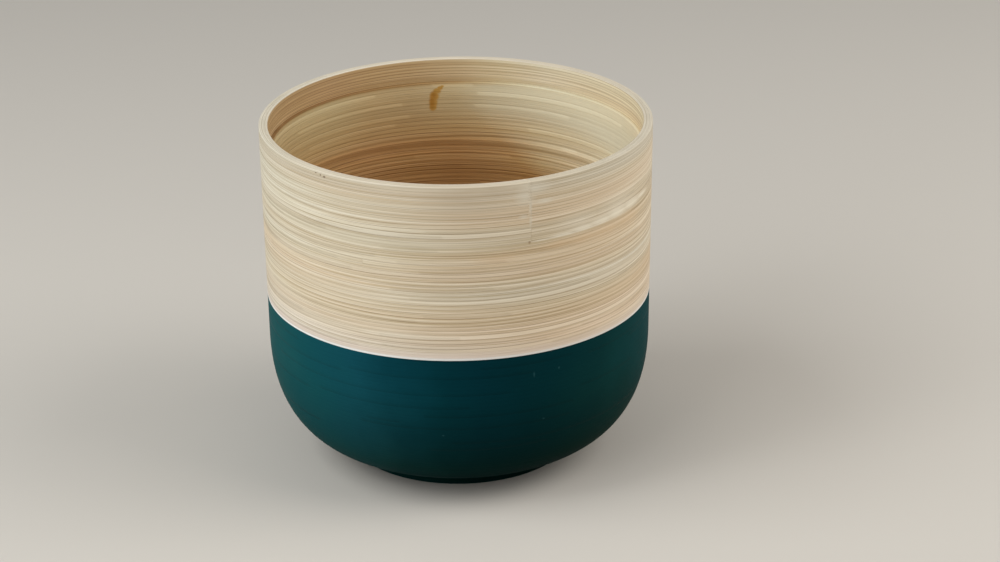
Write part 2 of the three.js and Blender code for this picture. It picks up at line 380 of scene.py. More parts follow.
# the grain of one strip: its tone, its streaks and fibres and the glue lines beside it
def makeGrainGroup():
    tree = bpy.data.node_groups.new("stripGrain", "ShaderNodeTree")
    for label in ("Along", "Across", "Drift", "Warmth", "Variety", "Streaks", "Joints"):
        tree.interface.new_socket(name=label, in_out="INPUT", socket_type="NodeSocketFloat")
    for label, kind in (("Colour", "Color"), ("Roughness", "Float"), ("Height", "Float")):
        tree.interface.new_socket(name=label, in_out="OUTPUT", socket_type="NodeSocket" + kind)
    entry = addNode(tree, "NodeGroupInput")
    across, variety = entry.outputs["Across"], entry.outputs["Variety"]
    tones = {key: fromSrgb(*value) for key, value in bambooTones.items()}

    # a wide face is told apart into layers, each with its own tone
    layer = maths(tree, "FLOOR", across)
    within = maths(tree, "FRACT", across)
    along = maths(tree, "MULTIPLY_ADD", layer, grainLook["layerShift"], entry.outputs["Along"])
    strand = maths(tree, "MULTIPLY", across, entry.outputs["Streaks"])
    streaks = {}
    for name in ("broad", "fine"):
        look = grainLook[name]
        streaks[name] = faceNoise(tree, along, strand, look["along"], look["across"], 2.0)
    for name in ("tone", "lean"):
        streaks[name] = lineNoise(tree, along, grainLook[name]["along"], grainLook[name]["shift"])
    lean = maths(tree, "MULTIPLY", aboutHalf(tree, within), aboutHalf(tree, streaks["lean"]))
    light = maths(tree, "MULTIPLY", lean, grainLook["lean"]["weight"])
    for name in ("tone", "broad", "fine"):
        part = maths(tree, "MULTIPLY", aboutHalf(tree, streaks[name]), grainLook[name]["weight"])
        light = maths(tree, "ADD", light, part)
    light = maths(tree, "MULTIPLY", light, variety)
    drift = grainLook["driftRange"]
    light = maths(tree, "ADD", light, mapRange(tree, entry.outputs["Drift"], 0.0, 1.0, -drift, drift))
    colour = colourRamp(tree, maths(tree, "ADD", light, 0.5), [
        (0.22, tones["tan"]), (0.5, tones["straw"]), (0.78, tones["pale"]),
    ])
    for tone, way in (("honey", 1), ("ash", -1)):
        most = 0.5 + way * grainLook["warmthRange"]
        share = mapRange(tree, entry.outputs["Warmth"], 0.5, most, 0.0, grainLook["warmthShare"])
        colour = mixColour(tree, share, colour, tones[tone])

    # dark and pale fibres, then the glue lines
    fibres = {}
    for name in ("hair", "gleam"):
        look = grainLook[name]
        moved = maths(tree, "ADD", along, look["shift"])
        noise = faceNoise(tree, moved, strand, look["along"], look["across"], 0.0)
        share = mapRange(tree, noise, grainLook["hairFrom"], grainLook["hairTo"], 0.0, look["share"])
        fibres[name] = maths(tree, "MULTIPLY", share, variety)
        colour = mixColour(tree, fibres[name], colour, tones[look["tone"]])
    edge = maths(tree, "MINIMUM", within, maths(tree, "SUBTRACT", 1.0, within))
    line = mapRange(tree, edge, grainLook["jointFrom"], grainLook["jointTo"], 1.0, 0.0)
    broken = lineNoise(tree, along, grainLook["jointNoise"]["along"], grainLook["jointNoise"]["shift"])
    line = maths(tree, "MULTIPLY", line, mapRange(tree, broken, 0.38, 0.68, 0.15, 1.0))
    line = maths(tree, "MULTIPLY", line, entry.outputs["Joints"])
    colour = mixColour(tree, line, colour, tones["joint"])

    leave = addNode(tree, "NodeGroupOutput")
    tree.links.new(colour, leave.inputs["Colour"])
    rough = mapRange(tree, streaks["broad"], 0.3, 0.7, *grainLook["roughness"])
    tree.links.new(rough, leave.inputs["Roughness"])
    ridges = maths(tree, "MULTIPLY_ADD", streaks["broad"], 0.6, maths(tree, "MULTIPLY", streaks["fine"], 0.4))
    grooves = maths(tree, "MULTIPLY", maths(tree, "ADD", line, fibres["hair"]), 0.4)
    tree.links.new(maths(tree, "SUBTRACT", ridges, grooves), leave.inputs["Height"])
    return tree


grainGroup = makeGrainGroup()


spunFinish = {
    "bandStretch": (5.0, 5.0, 75.0),   # batches of strip show as wide, soft bands
    "bandScale": 0.8,
    "bandRange": (0.4, 0.6),
    "lineStretch": (6.0, 6.0, 800.0),  # and single turns as thin lines
    "cloudScale": 45.0,
    "paintBlur": 0.00008,
    "paintCloud": 0.03,
    "paintRoughness": 0.5,
    "roughnessRange": 0.03,
    "bumpDistance": 0.00012,
    "bumpStrength": 0.5,
    "bumpUnderPaint": 0.03,
}
# where a look changes: from one place to another, and its strength at the first and at the second
changes = {
    "lowGrain": (0.108, 0.13, 3.3, 1.0),        # by height inside
    "litRightGrain": (0.0, 1.0, 1.0, 0.3),         # where the inside has painted light
    "proudGrain": (0.0, 1.0, 1.0, 0.35),        # on the turns that stand out
    "outsideGrain": (0.03, 0.065, 1.0, 0.8),    # the rest from left to right
    "deepWall": (0.106, 0.126, 1.0, 0.0),       # this one by height
    "ledgeShadeLine": (0.0, 0.035, 1.0, 0.15),
    "paintEdge": (0.0, 0.05, 1.0, 0.7),
    "paintShade": (-0.075, -0.03, 0.5, 1.0),
}
hoopBottom = ledgeHeight - 0.0004
# how much of each colour the bamboo keeps, by height in mm: outside in bands from batch to batch of strip,
# inside browner further down as painted shade with a warm painted bounce, painted shade at the ledge, and warmer on
# the hoop above it
outsideTones = {
    76: (0.95, 0.95, 0.96), 82: (1.08, 1.04, 1.06), 86: (1.07, 1.02, 1.0), 89: (1.01, 0.93, 0.88),
    92: (0.99, 0.93, 0.87), 94: (1.02, 0.98, 0.94), 97: (0.97, 0.94, 0.9), 99: (1.02, 1.02, 1.02),
    103: (0.99, 0.99, 0.99), 105.5: (1.08, 1.12, 1.18), 107: (1.08, 1.09, 1.12), 110: (1.06, 1.06, 1.06),
    113: (0.97, 0.95, 0.94), 117: (1.05, 1.06, 1.07), 120: (1.0, 0.98, 0.96), 123.5: (1.02, 0.98, 0.93),
    127: (0.94, 0.92, 0.88), 131: (0.96, 0.94, 0.92), 133: (1.05, 1.06, 1.08), 140: (1.05, 1.09, 1.14),
    144: (0.98, 1.02, 1.06), 147: (1.03, 1.07, 1.12), 149: (0.89, 0.91, 0.93), 153.6: (0.93, 0.97, 1.02),
}
insideToneAndShade = {
    5: (0.88, 0.74, 0.53), 60: (0.84, 0.66, 0.44), 92: (0.62, 0.4, 0.21), 99: (0.61, 0.39, 0.2),
    103: (0.71, 0.48, 0.27), 106.5: (0.64, 0.43, 0.23), 109.5: (0.63, 0.42, 0.23), 111.5: (0.74, 0.51, 0.3),
    114.4: (0.68, 0.47, 0.27), 115.3: (0.63, 0.44, 0.25), 116.4: (0.62, 0.445, 0.255), 117.6: (0.8, 0.62, 0.41),
    120: (0.86, 0.69, 0.45), 132: (0.92, 0.865, 0.71), 141.8: (1.02, 1.04, 0.95), 142.9: (0.92, 0.8, 0.63),
    153.6: (0.91, 0.82, 0.67),
}
# a painted highlight on the turns that stand out inside
proudHighlight = (1.34, 1.39, 1.48)
# painted shade in the corner under the hoop at the ledge, by height in mm
ledgeShadeLine = {140.8: 0.0, 141.6: 0.5, 142.4: 1.0, 142.7: 1.0, 143.1: 0.0}
ledgeShade = (0.62, 0.5, 0.36)
# and from left to right, in mm: painted shade makes the inside browner on the left
insideShadeSides = {
    -85: (0.87, 0.78, 0.66), -68: (0.96, 0.91, 0.79), -55: (0.97, 0.92, 0.8), -40: (0.955, 0.85, 0.71),
    -21: (0.9, 0.8, 0.68), 0: (0.94, 0.88, 0.79), 16: (1.0, 1.0, 1.0),
}
# painted light low down inside: lighter on the left and a little to the right
lowInsideLightSides = {
    -85: (1.33, 1.46, 1.67), -57: (1.33, 1.46, 1.67), -40: (1.35, 1.43, 1.64), -21: (1.24, 1.29, 1.37),
    0: (1.05, 1.04, 1.05), 20: (1.06, 1.12, 1.18), 40: (1.13, 1.25, 1.25), 57: (1.1, 1.12, 1.1),
    85: (1.1, 1.1, 1.08),
}
# painted light on the hoop inside: darker on the left, lighter and bluer to the right
hoopLightSides = {
    -85: (0.9, 0.83, 0.76), -70: (0.87, 0.78, 0.67), -57: (0.9, 0.8, 0.71), -40: (0.88, 0.8, 0.69),
    -21: (0.88, 0.83, 0.75), 0: (0.96, 0.98, 0.98), 21: (1.13, 1.28, 1.42), 41: (1.22, 1.45, 1.8),
    85: (1.26, 1.42, 1.6),
}
# painted light outside: a little bluer on the left
outsideLightSides = {
    -85: (0.99, 1.03, 1.07), -30: (1.0, 1.03, 1.06), 0: (0.98, 0.98, 0.99), 40: (0.98, 0.97, 0.96),
    85: (0.98, 0.98, 1.0),
}
# the paint, from left to right, lighter on the left as painted light and reflection, and then by height in mm,
# darker towards the foot as painted shade
paintLightSides = {
    -85: (24, 78, 80), -63: (18, 73, 79), -43: (17, 69, 79), -26: (10, 57, 66), -9: (6, 49, 56), 9: (5, 44, 51),
    26: (5, 42, 47), 43: (7, 44, 47), 57: (10, 47, 48), 70: (13, 52, 52), 85: (17, 58, 60),
}
paintShadeHeights = {
    4: (0.8, 0.45, 0.3), 13: (0.85, 0.52, 0.38), 20: (0.9, 0.56, 0.4), 26: (0.95, 0.62, 0.5), 38: (1.0, 0.74, 0.68),
    50: (1.0, 0.9, 0.86), 60: (1.0, 1.0, 1.0), 75: (1.0, 1.03, 1.06),
}
# the bamboo just above the paint: a soft blush, and a pale line on it
paintEdges = [
    {"colour": (222, 206, 194), "height": 0.0045, "share": 0.7},
    {"colour": (228, 228, 224), "height": 0.0013, "share": 1.0},
]
endLine = {"colour": (150, 124, 90), "share": 0.12, "from": 0.0001, "to": 0.0005}
# painted light: the inside is paler to the right, below the ledge
insideLitRight = {"height": 0.125, "from": 0.01, "to": 0.07, "most": 0.9, "tone": (1.26, 1.36, 1.36)}
# the lip is paler on top: partly rubbed, partly a painted highlight
lipWearAndHighlight = {"colour": (226, 215, 195), "share": 0.55, "depth": 0.0005, "fullDepth": 0.0001}


def smallSpot(tree, place, centre, size, soft):
    # 1 inside a small oval, 0 outside it; millimetres
    away = vectorMaths(tree, "SUBTRACT", place, [v / 1000 for v in centre]).outputs[0]
    away = vectorMaths(tree, "DIVIDE", away, [v / 1000 for v in size]).outputs[0]
    away = vectorMaths(tree, "LENGTH", away).outputs["Value"]
    return mapRange(tree, away, 1 - soft, 1 + soft, 1.0, 0.0)


def toneAlong(tree, distance, tones):
    marks = list(tones)
    low, span = marks[0] / 1000, (marks[-1] - marks[0]) / 1000
    stops = [((at / 1000 - low) / span, (*tone, 1.0)) for at, tone in tones.items()]
    return colourRamp(tree, mapRange(tree, distance, low, low + span, 0.0, 1.0), stops)


def onWall(azimuth, z, radius=86.0):
    # a place on the outside, by degrees to the right of the front; millimetres
    return (radius * math.sin(math.radians(azimuth)), -radius * math.cos(math.radians(azimuth)), z)


# marks of use and making, and one patch of painted shade: each has a colour, how strongly it shows, and its spots
glueRun = {
    "colour": (186, 140, 58), "share": 0.9, "soft": 0.25, "spots": [
        ((-6.1, 80.2, 140.8), (0.8, 4, 0.5)), ((-7.1, 80.1, 140.0), (1.3, 4, 0.9)),
        ((-8.5, 80.0, 138.6), (1.8, 4, 1.4)), ((-9.8, 79.8, 136.2), (2.1, 4, 2.3)),
        ((-10.3, 79.7, 133.2), (1.9, 4, 2.8)), ((-10.5, 79.7, 131.0), (1.7, 4, 1.9)),
    ],
}
glueDeep = {
    "colour": (158, 102, 30), "share": 0.6, "soft": 0.6, "spots": [
        ((-10.9, 79.7, 133.4), (1.1, 4, 3.4)), ((-10.2, 79.8, 136.6), (1.2, 4, 1.8)),
    ],
}
seamSmudge = {
    "colour": (220, 213, 196), "share": 0.5, "soft": 0.8, "spots": [
        (onWall(22, 150.5), (5.0, 6, 2.0)), (onWall(19, 147), (3.0, 6, 2.5)), (onWall(20.6, 143), (0.5, 3, 4.0)),
        (onWall(20.6, 136), (0.45, 3, 2.5)), (onWall(25, 144), (2.5, 4, 0.8)), (onWall(18.5, 138.4), (1.5, 4, 0.7)),
    ],
}
tanBand = {
    "colour": (212, 178, 138), "share": 0.3, "soft": 0.7, "spots": [
        (onWall(30, 123.6), (7, 8, 1.6)), (onWall(38, 123.2), (8, 9, 2.4)), (onWall(47, 123.0), (9, 10, 3.0)),
        (onWall(57, 122.8), (8, 10, 3.2)), (onWall(11, 120.6), (8, 6, 1.6)),
    ],
}
palePatch = {
    "colour": (235, 226, 206), "share": 0.65, "soft": 0.6, "above": 126.5, "spots": [
        (onWall(24, 126.5), (4, 6, 0.6)), (onWall(31, 126.9), (7, 8, 1.0)), (onWall(38, 127.5), (7, 8, 1.4)),
        (onWall(45, 128.0), (7, 8, 1.7)), (onWall(52, 128.6), (7, 8, 1.9)), (onWall(60, 129.0), (6, 9, 1.6)),
        (onWall(67, 129.2), (4, 8, 0.9)),
    ],
}
paleHaze = {
    "colour": (230, 222, 204), "share": 0.3, "soft": 0.8, "spots": [
        (onWall(52, 132), (10, 12, 4.0)), (onWall(36, 131.5), (9, 9, 3.2)), (onWall(-50, 86), (22, 26, 1.7)),
        (onWall(-20, 86), (14, 8, 1.1)),
    ],
}
# painted shade high on the front
frontShadePatch = {
    "colour": (158, 142, 118), "share": 0.25, "soft": 0.8, "spots": [
        (onWall(2, 147.5), (13, 10, 5)), (onWall(10, 150), (8, 8, 3)),
    ],
}
endKnot = {
    "colour": (136, 108, 74), "share": 0.7, "soft": 0.5, "spots": [
        (onWall(20.2, 126.6), (0.5, 2, 0.55)),
    ],
}
rimChip = {
    "colour": (96, 76, 54), "share": 0.8, "soft": 0.5, "spots": [
        (onWall(-39.8, 151.7), (0.45, 2, 0.45)), (onWall(-41.2, 152.1), (0.3, 2, 0.35)),
        (onWall(-43, 152.5), (0.35, 2, 0.25)),
    ],
}
paintScuffs = {
    "colour": (60, 100, 104), "share": 0.3, "soft": 0.7, "spots": [
        (onWall(21.6, 65.9, 85.0), (0.3, 3, 1.0)), (onWall(29.6, 66.6, 85.0), (0.3, 3, 0.5)),
        (onWall(24.7, 44.0, 84.5), (0.4, 3, 0.3)), (onWall(-5.2, 39.9, 84.0), (0.4, 3, 0.3)),
    ],
}


# what the grain's colour is multiplied by, inside and outside, with painted light and shade in it
def bareTint(tree, sideways, height, outside, litRight, proud):
    tint = mixColour(tree, litRight, toneAlong(tree, height, insideToneAndShade), (*insideLitRight["tone"], 1.0))
    deep = mapRange(tree, height, *changes["deepWall"])
    # painted light and shade from left to right, on the wall, low down and on the hoop
    sides = mixColour(tree, deep, toneAlong(tree, sideways, insideShadeSides), toneAlong(tree, sideways, lowInsideLightSides))
    onHoop = maths(tree, "GREATER_THAN", height, hoopBottom)
    sides = mixColour(tree, onHoop, sides, toneAlong(tree, sideways, hoopLightSides))
    tint = mixColour(tree, 1.0, tint, sides, "MULTIPLY")
    # painted shade in the corner of the ledge, weaker to the right
    corner = toneAlong(tree, height, {at: (show, show, show) for at, show in ledgeShadeLine.items()})
    corner = maths(tree, "MULTIPLY", corner, mapRange(tree, sideways, *changes["ledgeShadeLine"]))
    tint = mixColour(tree, corner, tint, (*ledgeShade, 1.0), "MULTIPLY")
    # painted highlight on the turns that stand out
    tint = mixColour(tree, proud, tint, (*proudHighlight, 1.0), "MULTIPLY")
    bands, sides = toneAlong(tree, height, outsideTones), toneAlong(tree, sideways, outsideLightSides)
    return mixColour(tree, outside, tint, mixColour(tree, 1.0, bands, sides, "MULTIPLY"))


# satin paint, a little cloudy, with painted light on the left and painted shade darker towards the foot
def paintColour(tree, sideways, height, cloud):
    coat = maths(tree, "MULTIPLY_ADD", aboutHalf(tree, cloud), spunFinish["paintCloud"], sideways)
    paint = toneAlong(tree, coat, {at: fromSrgb(*tone)[:3] for at, tone in paintLightSides.items()})
    shaded = mapRange(tree, sideways, *changes["paintShade"])
    return mixColour(tree, shaded, paint, toneAlong(tree, height, paintShadeHeights), "MULTIPLY")


def layMark(tree, place, height, colour, mark):
    shape = 0.0
    for centre, size in mark["spots"]:
        shape = maths(tree, "MAXIMUM", shape, smallSpot(tree, place, centre, size, mark["soft"]))
    if "above" in mark:  # cut off along a joint
        joint, blur = mark["above"] / 1000, 0.0002
        shape = maths(tree, "MULTIPLY", shape, mapRange(tree, height, joint - blur, joint + blur, 0.0, 1.0))
    return mixColour(tree, maths(tree, "MULTIPLY", shape, mark["share"]), colour, fromSrgb(*mark["colour"]))


# bamboo that is bare above the paint's edge and inside the pot, and painted below it outside
def makeSpunBamboo(name, grain, gloss, marks):
    material = bpy.data.materials.new(name)
    material.use_nodes = True
    tree = material.node_tree
    shader = tree.nodes["Principled BSDF"]
    shader.inputs["Specular IOR Level"].default_value = gloss["level"]
    shader.inputs["Specular Tint"].default_value = gloss["tint"]
    place = addNode(tree, "ShaderNodeTexCoord").outputs["Object"]
    axes = addNode(tree, "ShaderNodeSeparateXYZ", {"Vector": place})
    sideways, height = axes.outputs["X"], axes.outputs["Z"]
    outside, fromEnd, proud = [
        addNode(tree, "ShaderNodeAttribute", attribute_name=label).outputs["Fac"]
        for label in ("outside", "fromEnd", "proud")
    ]
    outside = maths(tree, "GREATER_THAN", outside, 0.5)
    inside = maths(tree, "SUBTRACT", 1.0, outside)
    # painted light on the inside to the right, below the ledge
    slant = maths(tree, "ADD", sideways, maths(tree, "SUBTRACT", height, insideLitRight["height"]))
    litRight = mapRange(tree, slant, insideLitRight["from"], insideLitRight["to"], 0.0, insideLitRight["most"])
    litRight = maths(tree, "MULTIPLY", litRight, maths(tree, "LESS_THAN", height, hoopBottom))

    # how strongly the grain shows, and how light each line of it is
    variety = maths(tree, "MULTIPLY", mapRange(tree, height, *changes["lowGrain"]), grain["insideVariety"])
    variety = maths(tree, "MULTIPLY", variety, mapRange(tree, litRight, *changes["litRightGrain"]))
    variety = maths(tree, "MULTIPLY", variety, mapRange(tree, proud, *changes["proudGrain"]))
    calm = mapRange(tree, sideways, *changes["outsideGrain"])
    variety = maths(tree, "MULTIPLY_ADD", variety, inside, maths(tree, "MULTIPLY", outside, calm))
    bands = vectorMaths(tree, "MULTIPLY", place, spunFinish["bandStretch"]).outputs[0]
    drift = softNoise(tree, bands, spunFinish["bandScale"], 1.0)
    warmth = addNode(tree, "ShaderNodeSeparateXYZ", {"Vector": drift.outputs["Color"]}).outputs["Z"]
    lines = vectorMaths(tree, "MULTIPLY", place, spunFinish["lineStretch"]).outputs[0]
    lines = softNoise(tree, lines, 1.0, 0.0).outputs[0]
    shift = mapRange(tree, drift.outputs[0], 0.0, 1.0, *spunFinish["bandRange"])
    shift = maths(tree, "MULTIPLY_ADD", aboutHalf(tree, lines), variety, shift)

    split = addNode(tree, "ShaderNodeSeparateXYZ", {
        "Vector": addNode(tree, "ShaderNodeUVMap", uv_map="grain").outputs[0],
    })
    strip = addNode(tree, "ShaderNodeGroup", node_tree=grainGroup)
    for label, value in (("Along", split.outputs["X"]), ("Across", split.outputs["Y"]),
                         ("Drift", shift), ("Warmth", warmth), ("Variety", variety),
                         ("Joints", maths(tree, "MULTIPLY", variety, grain["joints"]))):
        tree.links.new(value, strip.inputs[label])
    strip.inputs["Streaks"].default_value = grain["streaks"]

    tint = bareTint(tree, sideways, height, outside, litRight, proud)
    colour = mixColour(tree, 1.0, strip.outputs["Colour"], tint, "MULTIPLY")
    nearEnd = mapRange(tree, fromEnd, endLine["from"], endLine["to"], endLine["share"], 0.0)
    colour = mixColour(tree, nearEnd, colour, fromSrgb(*endLine["colour"]))
    paintTop, blur = potShape["paintHeight"], spunFinish["paintBlur"]
    for edge in paintEdges:
        first, last = paintTop + 0.4 * edge["height"], paintTop + edge["height"]
        near = mapRange(tree, height, first, last, edge["share"], 0.0)
        near = maths(tree, "MULTIPLY", near, mapRange(tree, sideways, *changes["paintEdge"]))
        colour = mixColour(tree, maths(tree, "MULTIPLY", near, outside), colour, fromSrgb(*edge["colour"]))
    lowEnough = mapRange(tree, height, paintTop - blur, paintTop + blur, 1.0, 0.0)
    painted = maths(tree, "MULTIPLY", lowEnough, outside)
    cloud = softNoise(tree, place, spunFinish["cloudScale"], 3.0).outputs[0]
    # the paint, with its painted light and shade
    colour = mixColour(tree, painted, colour, paintColour(tree, sideways, height, cloud))
    # a paler lip: wear and a painted highlight
    first, last = potShape["height"] - lipWearAndHighlight["depth"], potShape["height"] - lipWearAndHighlight["fullDepth"]
    wearAndHighlight = mapRange(tree, height, first, last, 0.0, lipWearAndHighlight["share"])
    wearAndHighlightMottle = softNoise(tree, place, spunFinish["cloudScale"], 2.0).outputs[0]
    wearAndHighlight = maths(tree, "MULTIPLY", wearAndHighlight, mapRange(tree, wearAndHighlightMottle, 0.3, 0.7, 0.4, 1.0))
    colour = mixColour(tree, wearAndHighlight, colour, fromSrgb(*lipWearAndHighlight["colour"]))
    for mark in marks:
        colour = layMark(tree, place, height, colour, mark)
    tree.links.new(colour, shader.inputs["Base Color"])

    satin, spread = spunFinish["paintRoughness"], spunFinish["roughnessRange"]
    paintRough = mapRange(tree, cloud, 0.3, 0.7, satin - spread, satin + spread)
    rough = addNode(tree, "ShaderNodeMix", {
        0: painted, 2: strip.outputs["Roughness"], 3: paintRough,
    }, data_type="FLOAT")
    tree.links.new(rough.outputs[0], shader.inputs["Roughness"])

    sealed = mapRange(tree, painted, 0.0, 1.0, 1.0, spunFinish["bumpUnderPaint"])
    bump = addNode(tree, "ShaderNodeBump", {
        "Strength": spunFinish["bumpStrength"], "Distance": spunFinish["bumpDistance"],
        "Height": maths(tree, "MULTIPLY", strip.outputs["Height"], sealed),
    })
    tree.links.new(bump.outputs[0], shader.inputs["Normal"])
    return material


lacquer = {"level": 0.3, "tint": (1.0, 1.0, 1.0, 1.0)}
satinPaint = {"level": 0.012, "tint": (0.12, 0.75, 0.9, 1.0)}
stripGrain = {"streaks": 2.5, "joints": 0.7, "insideVariety": 0.45}
hoopGrain = {"streaks": 2.5, "joints": 0.9, "insideVariety": 1.05}
pegGrain = {"streaks": 8.0, "joints": 0.0, "insideVariety": 1.0}
wallMarks = [glueRun, glueDeep, frontShadePatch, seamSmudge, tanBand, paleHaze, palePatch, endKnot]
bareStrip = makeSpunBamboo("bareStrip", stripGrain, lacquer, wallMarks)
paintedStrip = makeSpunBamboo("paintedStrip", stripGrain, satinPaint, [paintScuffs])
hoopBamboo = makeSpunBamboo("hoopBamboo", hoopGrain, lacquer, [frontShadePatch, seamSmudge, rimChip])
pegBamboo = makeSpunBamboo("pegBamboo", pegGrain, satinPaint, [])
print("finishes mixed")


# strips of equal length in each zone, counted from the peg outwards
collarTurn = round(np.interp(potShape["collarHeight"], winding["z"], winding["turn"]))
stripZones = [
    {"zone": "floor", "count": 2, "slot": "painted_bamboo",
     "top": np.interp(potShape["baseRadius"], winding["r"], winding["turn"])},
    {"zone": "haunch", "count": 9, "slot": "painted_bamboo",
     "top": np.interp(haunchTop, winding["z"], winding["turn"])},
    {"zone": "wall", "count": 2, "slot": "painted_bamboo",
     "top": np.interp(potShape["paintHeight"], winding["z"], winding["turn"])},
    {"zone": "wall", "count": 5, "slot": "bare_bamboo", "top": collarTurn},
]
seamGap = 0.00002


def windStrip(node, start, end, stationStep, grainShift, slot):
    painted = slot == "painted_bamboo"
    fill = stripStock["paintFill"] if painted else 1.0
    edgeRound, relief = fill * stripStock["edgeRound"], fill * stripStock["outsideRelief"]
    piece = sawStrip(node + "_wound", end - start - seamGap, stripStock["width"], stationStep, edgeRound)
    windOn(piece, winding, start, grainShift, stripStock["wander"], relief, stripStock["insideStep"])
    finishPiece(piece, node, paintedStrip if painted else bareStrip)


def windPot():
    fromTurn, made = 0.0, {"floor": 0, "haunch": 0, "wall": 0}
    for part in stripZones:
        zone = part["zone"]
        low, high = np.interp([fromTurn, part["top"]], winding["turn"], winding["length"])
        cuts = np.linspace(low, high, part["count"] + 1)
        step = stripStock["stationStep"] * (stripStock["floorStep"] if zone == "floor" else 1.0)
        for start, end in zip(cuts[:-1], cuts[1:]):
            made[zone] += 1
            begin = -stripStock["eyeTurn"] * fullTurn * pegRadius if start == 0 else start
            grainShift = sum(made.values()) * stripStock["grainShift"]
            windStrip(f"{zone}_strip_{made[zone]}", begin, end, step, grainShift, part["slot"])
        fromTurn = part["top"]
        print("wound the", zone)


collar = {"endGap": 0.02, "grainStart": 90, "grainShift": 5.3}


# single turns below the rim, and a last one that is feathered off under it
def windCollar():
    topTurn = math.floor(lastTurn) - 1
    joints = [*range(collarTurn, topTurn + 1), lastTurn - collar["endGap"]]
    cuts = np.interp(joints, winding["turn"], winding["length"])
    for i, (start, end) in enumerate(zip(cuts[:-1], cuts[1:])):
        grainShift = collar["grainStart"] + i * collar["grainShift"]
        windStrip(f"collar_strip_{i + 1}", start, end, stripStock["stationStep"], grainShift, "bare_bamboo")
    print("wound the collar")


windPot()
windCollar()

footStrip = {"stationStep": 0.002, "endGap": 0.03, "grainShift": 70.0}


def windFoot():
    end = footWinding["turn"][-1] - footStrip["endGap"]
    length = np.interp(end, footWinding["turn"], footWinding["length"])
    edgeRound = stripStock["edgeRound"]
    piece = sawStrip("foot_strip_wound", length, potShape["footHeight"], footStrip["stationStep"], edgeRound)
    windOn(piece, footWinding, 0.0, footStrip["grainShift"], 0.0, 0.0, 0.0)
    allPainted = np.ones(len(piece.data.vertices), np.float32)
    piece.data.attributes["outside"].data.foreach_set("value", allPainted)
    finishPiece(piece, "foot_strip", paintedStrip)
    print("wound the foot")


windFoot()

rimHoops = {
    "outerReveal": 0.0075,
    "middleReveal": 0.0035,
    "rounding": 0.0005,
    "outerRounding": 0.0006,
    "edgeRound": 0.00015,
    "glue": 0.00006,
    "sandedBack": 0.00005,    # taken off the outside of the lip
    "steps": 360,
    "smoothAngle": 50,
    "outsideLayer": 0.0013,   # spacing of the lines outside and inside
    "insideLayer": 0.0014,
}
rimInside = outsideAt(ledgeHeight) - rimWall


# a hoop: its section is drawn at the seam, its corners are sanded, and it is spun round the pot
def bendHoop(node, section, sanded, gradeShift):
    startPiece()
    bpy.ops.mesh.primitive_circle_add(vertices=len(section), radius=0.01, fill_type="NGON")
    piece = bpy.context.object
    piece.name = node + "_bent"
    for vertex, (r, z) in zip(piece.data.vertices, section):
        vertex.co = (r, 0, z)
    bpy.ops.object.mode_set(mode="EDIT")
    for (r, z), size in zip(section, sanded):
        bpy.ops.mesh.select_mode(type="VERT")
        bpy.ops.mesh.select_all(action="DESELECT")
        mesh = bmesh.from_edit_mesh(piece.data)
        for vertex in mesh.verts:
            if math.hypot(vertex.co.x - r, vertex.co.z - z) < 1e-6:
                vertex.select_set(True)
        bmesh.update_edit_mesh(piece.data)
        bpy.ops.mesh.bevel(offset=size, segments=4, affect="VERTICES")
    bpy.ops.object.mode_set(mode="OBJECT")
    corners = [piece.data.vertices[i].co for i in piece.data.polygons[0].vertices]
    outline = np.array([(corner.x, corner.z) for corner in corners])
    bpy.ops.object.mode_set(mode="EDIT")
    bpy.ops.mesh.select_mode(type="FACE")
    bpy.ops.mesh.select_all(action="SELECT")
    turnAngle = fullTurn - seamGap / potShape["rimRadius"]
    bpy.ops.mesh.spin(steps=rimHoops["steps"], angle=turnAngle, center=(0, 0, 0), axis=(0, 0, 1))
    bpy.ops.object.mode_set(mode="OBJECT")

    # grain runs round the hoop, and the layers are counted round its section
    points = readPoints(piece)
    r, z = np.hypot(points[:, 0], points[:, 1]), points[:, 2]
    azimuth = np.mod(np.arctan2(points[:, 1], points[:, 0]) + 1e-5, fullTurn) - 1e-5
    start = np.argmin(np.hypot(outline[:, 0] - section[0][0], outline[:, 1] - section[0][1]))
    outline = np.roll(outline, -start, axis=0)
    inner = np.abs(outline[:, 0] - section[:, 0].min()) < 1e-5
    span = np.hypot(*np.diff(outline, axis=0).T)
    scale = np.where(inner[1:] & inner[:-1], rimHoops["insideLayer"], rimHoops["outsideLayer"])
    count = np.concatenate([[0], np.cumsum(span / scale)]) + gradeShift
    nearest = np.argmin(np.hypot(r[:, None] - outline[:, 0], z[:, None] - outline[:, 1]), axis=1)
    slack = 0.0002
    below = potShape["height"] - rimHoops["rounding"] + slack
    side = np.where((r < rimInside + slack) & (z < below), 0.0, 1.0)
    turned = azimuth + seamAngle
    placed = np.stack([r * np.cos(turned), r * np.sin(turned), z], 1)
    fromEnd = np.minimum(azimuth, fullTurn - azimuth) * potShape["rimRadius"]
    writePoints(piece, placed, azimuth * potShape["rimRadius"] + gradeShift, count[nearest],
                outside=side, fromEnd=np.minimum(fromEnd, endReach), proud=0.0)
    finishPiece(piece, node, hoopBamboo, angle=rimHoops["smoothAngle"])


